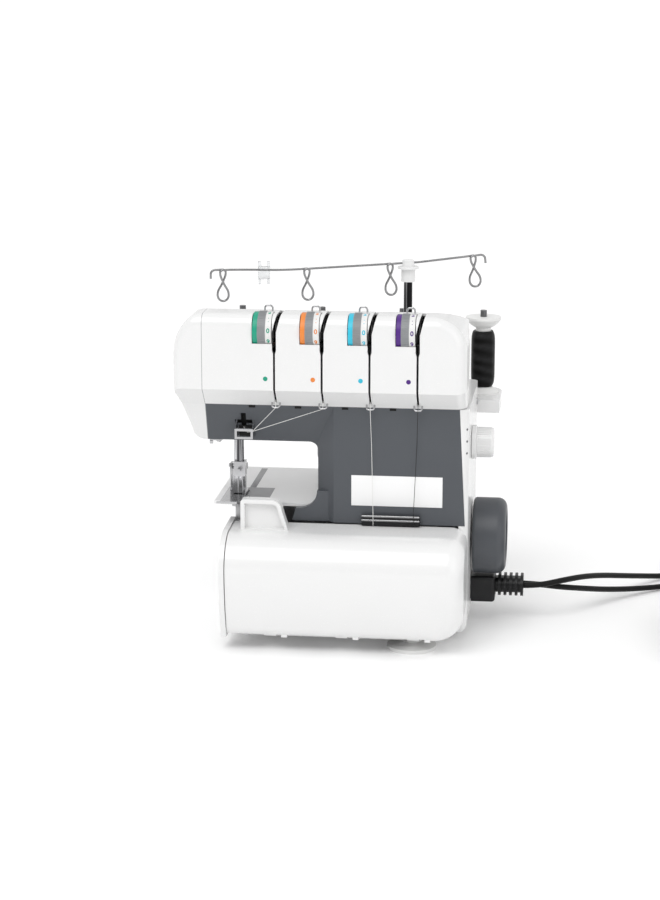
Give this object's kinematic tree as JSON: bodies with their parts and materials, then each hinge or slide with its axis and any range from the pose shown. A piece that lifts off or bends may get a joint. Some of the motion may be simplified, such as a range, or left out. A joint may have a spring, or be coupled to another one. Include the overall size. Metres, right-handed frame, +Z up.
{
  "type": "serger overlock machine",
  "caption": "Domestic overlock sewing machine with tension dials, looper cover, handwheel, rear spool stand, telescopic thread guide, foot control and mains lead.",
  "frame": {"origin": "on the table under the middle of the machine, leads and foot control left out", "axes": "+X to the operator's right (handwheel side), +Y away from the operator, +Z up"},
  "size_m": [0.5382, 0.3583, 0.3187],
  "materials": {
    "white_plastic": "moulded, satin gloss",
    "slate_plastic": "moulded, fine grain",
    "black_plastic": "moulded",
    "chrome": "plated and polished",
    "steel": "ground",
    "cast_aluminium": "as cast",
    "bed_metal": "satin",
    "motor_metal": "black enamel",
    "rubber": "moulded",
    "foot_rubber": "moulded, pale",
    "lead_rubber": "extruded sheath",
    "cap_plastic": "moulded",
    "white_thread": "cross-wound thread",
    "black_thread": "cross-wound thread",
    "dial_plastic": "ribbed grip with colour band"
  },
  "bodies": {
    "machine": {"base_tray": "white_plastic", "black_spool": "black_thread", "cloth_plate": "bed_metal", "connector_plug": "black_plastic", "drive_belt": "rubber", "front_panel": "slate_plastic", "head_cover": "white_plastic", "head_rear_cover": "white_plastic", "inner_plate": "steel", "left_end_cap": "white_plastic", "looper_guide_bar": "black_plastic", "lower_knife": "steel", "main_frame": "cast_aluminium", "mains_coil": "lead_rubber", "mains_inlet": "black_plastic", "mains_lead": "lead_rubber", "mains_plug": "black_plastic", "motor": "motor_metal", "needle_plate": "steel", "pedal_base": "black_plastic", "pedal_coil": "lead_rubber", "pedal_lead": "lead_rubber", "pole_outer_tube": "chrome", "rear_cover": "white_plastic", "right_cover": "white_plastic", "shaft_bearings": "steel", "spool_holders": "cap_plastic", "spool_pins": "chrome", "spool_stand": "white_plastic", "suction_feet": "foot_rubber", "switch_frame": "black_plastic", "tension_rack": "steel", "thread_guides": "chrome", "white_spools": "white_thread"},
    "drive_shaft": {"main_shaft": "steel", "handwheel": "slate_plastic"},
    "motor_rotor": {"motor_rotor": "steel"},
    "needle_drive": {"needle_bar": "chrome", "needle_clamp": "steel", "needles": "steel"},
    "presser": {"presser_bar": "chrome", "presser_foot": "chrome"},
    "presser_lifter": {"presser_lifter": "white_plastic"},
    "lower_looper": {"lower_looper": "steel"},
    "upper_looper": {"upper_looper": "steel"},
    "upper_knife": {"upper_knife": "steel"},
    "feed": {"feed_dogs": "steel"},
    "cover_rod": {"cover_hinge_rod": "steel"},
    "looper_cover": {"looper_cover": "white_plastic"},
    "side_plate": {"side_plate": "white_plastic"},
    "pole_slide": {"pole_inner_tube": "chrome"},
    "guide_head": {"pole_cap": "white_plastic", "guide_wire": "chrome"},
    "switch_rocker": {"switch_rocker": "black_plastic"},
    "stitch_dial": {"stitch_dial": "white_plastic"},
    "treadle": {"pedal_treadle": "black_plastic"},
    "tension_dial_1": {"tension_dial_1": "dial_plastic"},
    "tension_dial_2": {"tension_dial_2": "dial_plastic"},
    "tension_dial_3": {"tension_dial_3": "dial_plastic"},
    "tension_dial_4": {"tension_dial_4": "dial_plastic"}
  },
  "joints": [
    {"name": "handwheel_spin", "type": "hinge", "parent": "machine", "child": "drive_shaft", "pos_m": [0, 0, 0.078], "axis": [1, 0, 0], "continuous": true},
    {"name": "motor_spin", "type": "hinge", "parent": "machine", "child": "motor_rotor", "pos_m": [0, 0.034, 0.046], "axis": [1, 0, 0], "continuous": true},
    {"name": "needle_stroke", "type": "slide", "parent": "machine", "child": "needle_drive", "axis": [0, 0, 1], "range_m": [-0.01, 0.014]},
    {"name": "lower_looper_swing", "type": "hinge", "parent": "machine", "child": "lower_looper", "pos_m": [-0.05, 0, 0.045], "axis": [0, 1, 0], "range_deg": [-12.01, 8.6]},
    {"name": "upper_looper_swing", "type": "hinge", "parent": "machine", "child": "upper_looper", "pos_m": [-0.028, 0, 0.042], "axis": [0, 1, 0], "range_deg": [-5.75, 8.01]},
    {"name": "upper_knife_swing", "type": "hinge", "parent": "machine", "child": "upper_knife", "pos_m": [-0.014, 0, 0.084], "axis": [0, 1, 0], "range_deg": [-2.9, 4.01]},
    {"name": "feed_stroke", "type": "slide", "parent": "machine", "child": "feed", "axis": [0, 1, 0], "range_m": [-0.0018, 0.0025]},
    {"name": "lifter_turn", "type": "hinge", "parent": "machine", "child": "presser_lifter", "pos_m": [-0.02, 0.048, 0.142], "axis": [1, 0, 0], "range_deg": [0, 50.2]},
    {"name": "presser_lift", "type": "slide", "parent": "machine", "child": "presser", "axis": [0, 0, 1], "range_m": [0, 0.006]},
    {"name": "tension_1_turn", "type": "hinge", "parent": "machine", "child": "tension_dial_1", "pos_m": [-0.073, -0.0715, 0.2735], "axis": [1, 0, 0], "range_deg": [-130, 130]},
    {"name": "tension_2_turn", "type": "hinge", "parent": "machine", "child": "tension_dial_2", "pos_m": [-0.032, -0.0715, 0.2735], "axis": [1, 0, 0], "range_deg": [-130, 130]},
    {"name": "tension_3_turn", "type": "hinge", "parent": "machine", "child": "tension_dial_3", "pos_m": [0.009, -0.0715, 0.2735], "axis": [1, 0, 0], "range_deg": [-130, 130]},
    {"name": "tension_4_turn", "type": "hinge", "parent": "machine", "child": "tension_dial_4", "pos_m": [0.05, -0.0715, 0.2735], "axis": [1, 0, 0], "range_deg": [-130, 130]},
    {"name": "stitch_dial_turn", "type": "hinge", "parent": "machine", "child": "stitch_dial", "pos_m": [0.112, -0.02, 0.168], "axis": [1, 0, 0], "range_deg": [-100, 100]},
    {"name": "cover_shift", "type": "slide", "parent": "machine", "child": "cover_rod", "axis": [1, 0, 0], "range_m": [0, 0.008]},
    {"name": "cover_swing", "type": "hinge", "parent": "cover_rod", "child": "looper_cover", "pos_m": [0, -0.111, 0.016], "axis": [1, 0, 0], "range_deg": [0, 60]},
    {"name": "side_plate_swing", "type": "hinge", "parent": "machine", "child": "side_plate", "pos_m": [-0.0955, 0.063, 0.06], "axis": [0, 0, -1], "range_deg": [0, 80]},
    {"name": "pole_extend", "type": "slide", "parent": "machine", "child": "pole_slide", "axis": [0, 0, 1], "range_m": [0, 0.13]},
    {"name": "guide_swivel", "type": "hinge", "parent": "pole_slide", "child": "guide_head", "pos_m": [0.046, 0.08, 0.3], "axis": [0, 0, 1], "range_deg": [-20, 10]},
    {"name": "switch_rock", "type": "hinge", "parent": "machine", "child": "switch_rocker", "pos_m": [0.11, 0.038, 0.031], "axis": [0, 1, 0], "range_deg": [-8, 8]},
    {"name": "treadle_press", "type": "hinge", "parent": "machine", "child": "treadle", "pos_m": [0.344, -0.104, 0.017], "axis": [-1, 0, 0], "range_deg": [0, 7], "stiffness_Nm_per_rad": 2, "springref_deg": -6.88}
  ],
  "couplings": [
    {"joint": "motor_spin", "follows": "handwheel_spin", "ratio": 2.25},
    {"joint": "lower_looper_swing", "follows": "needle_stroke", "rad_per_m": -14.96},
    {"joint": "upper_looper_swing", "follows": "needle_stroke", "rad_per_m": 9.9733},
    {"joint": "upper_knife_swing", "follows": "needle_stroke", "rad_per_m": 4.9867},
    {"joint": "feed_stroke", "follows": "needle_stroke", "ratio": 0.17847},
    {"joint": "lifter_turn", "follows": "presser_lift", "rad_per_m": 145.44}
  ]
}
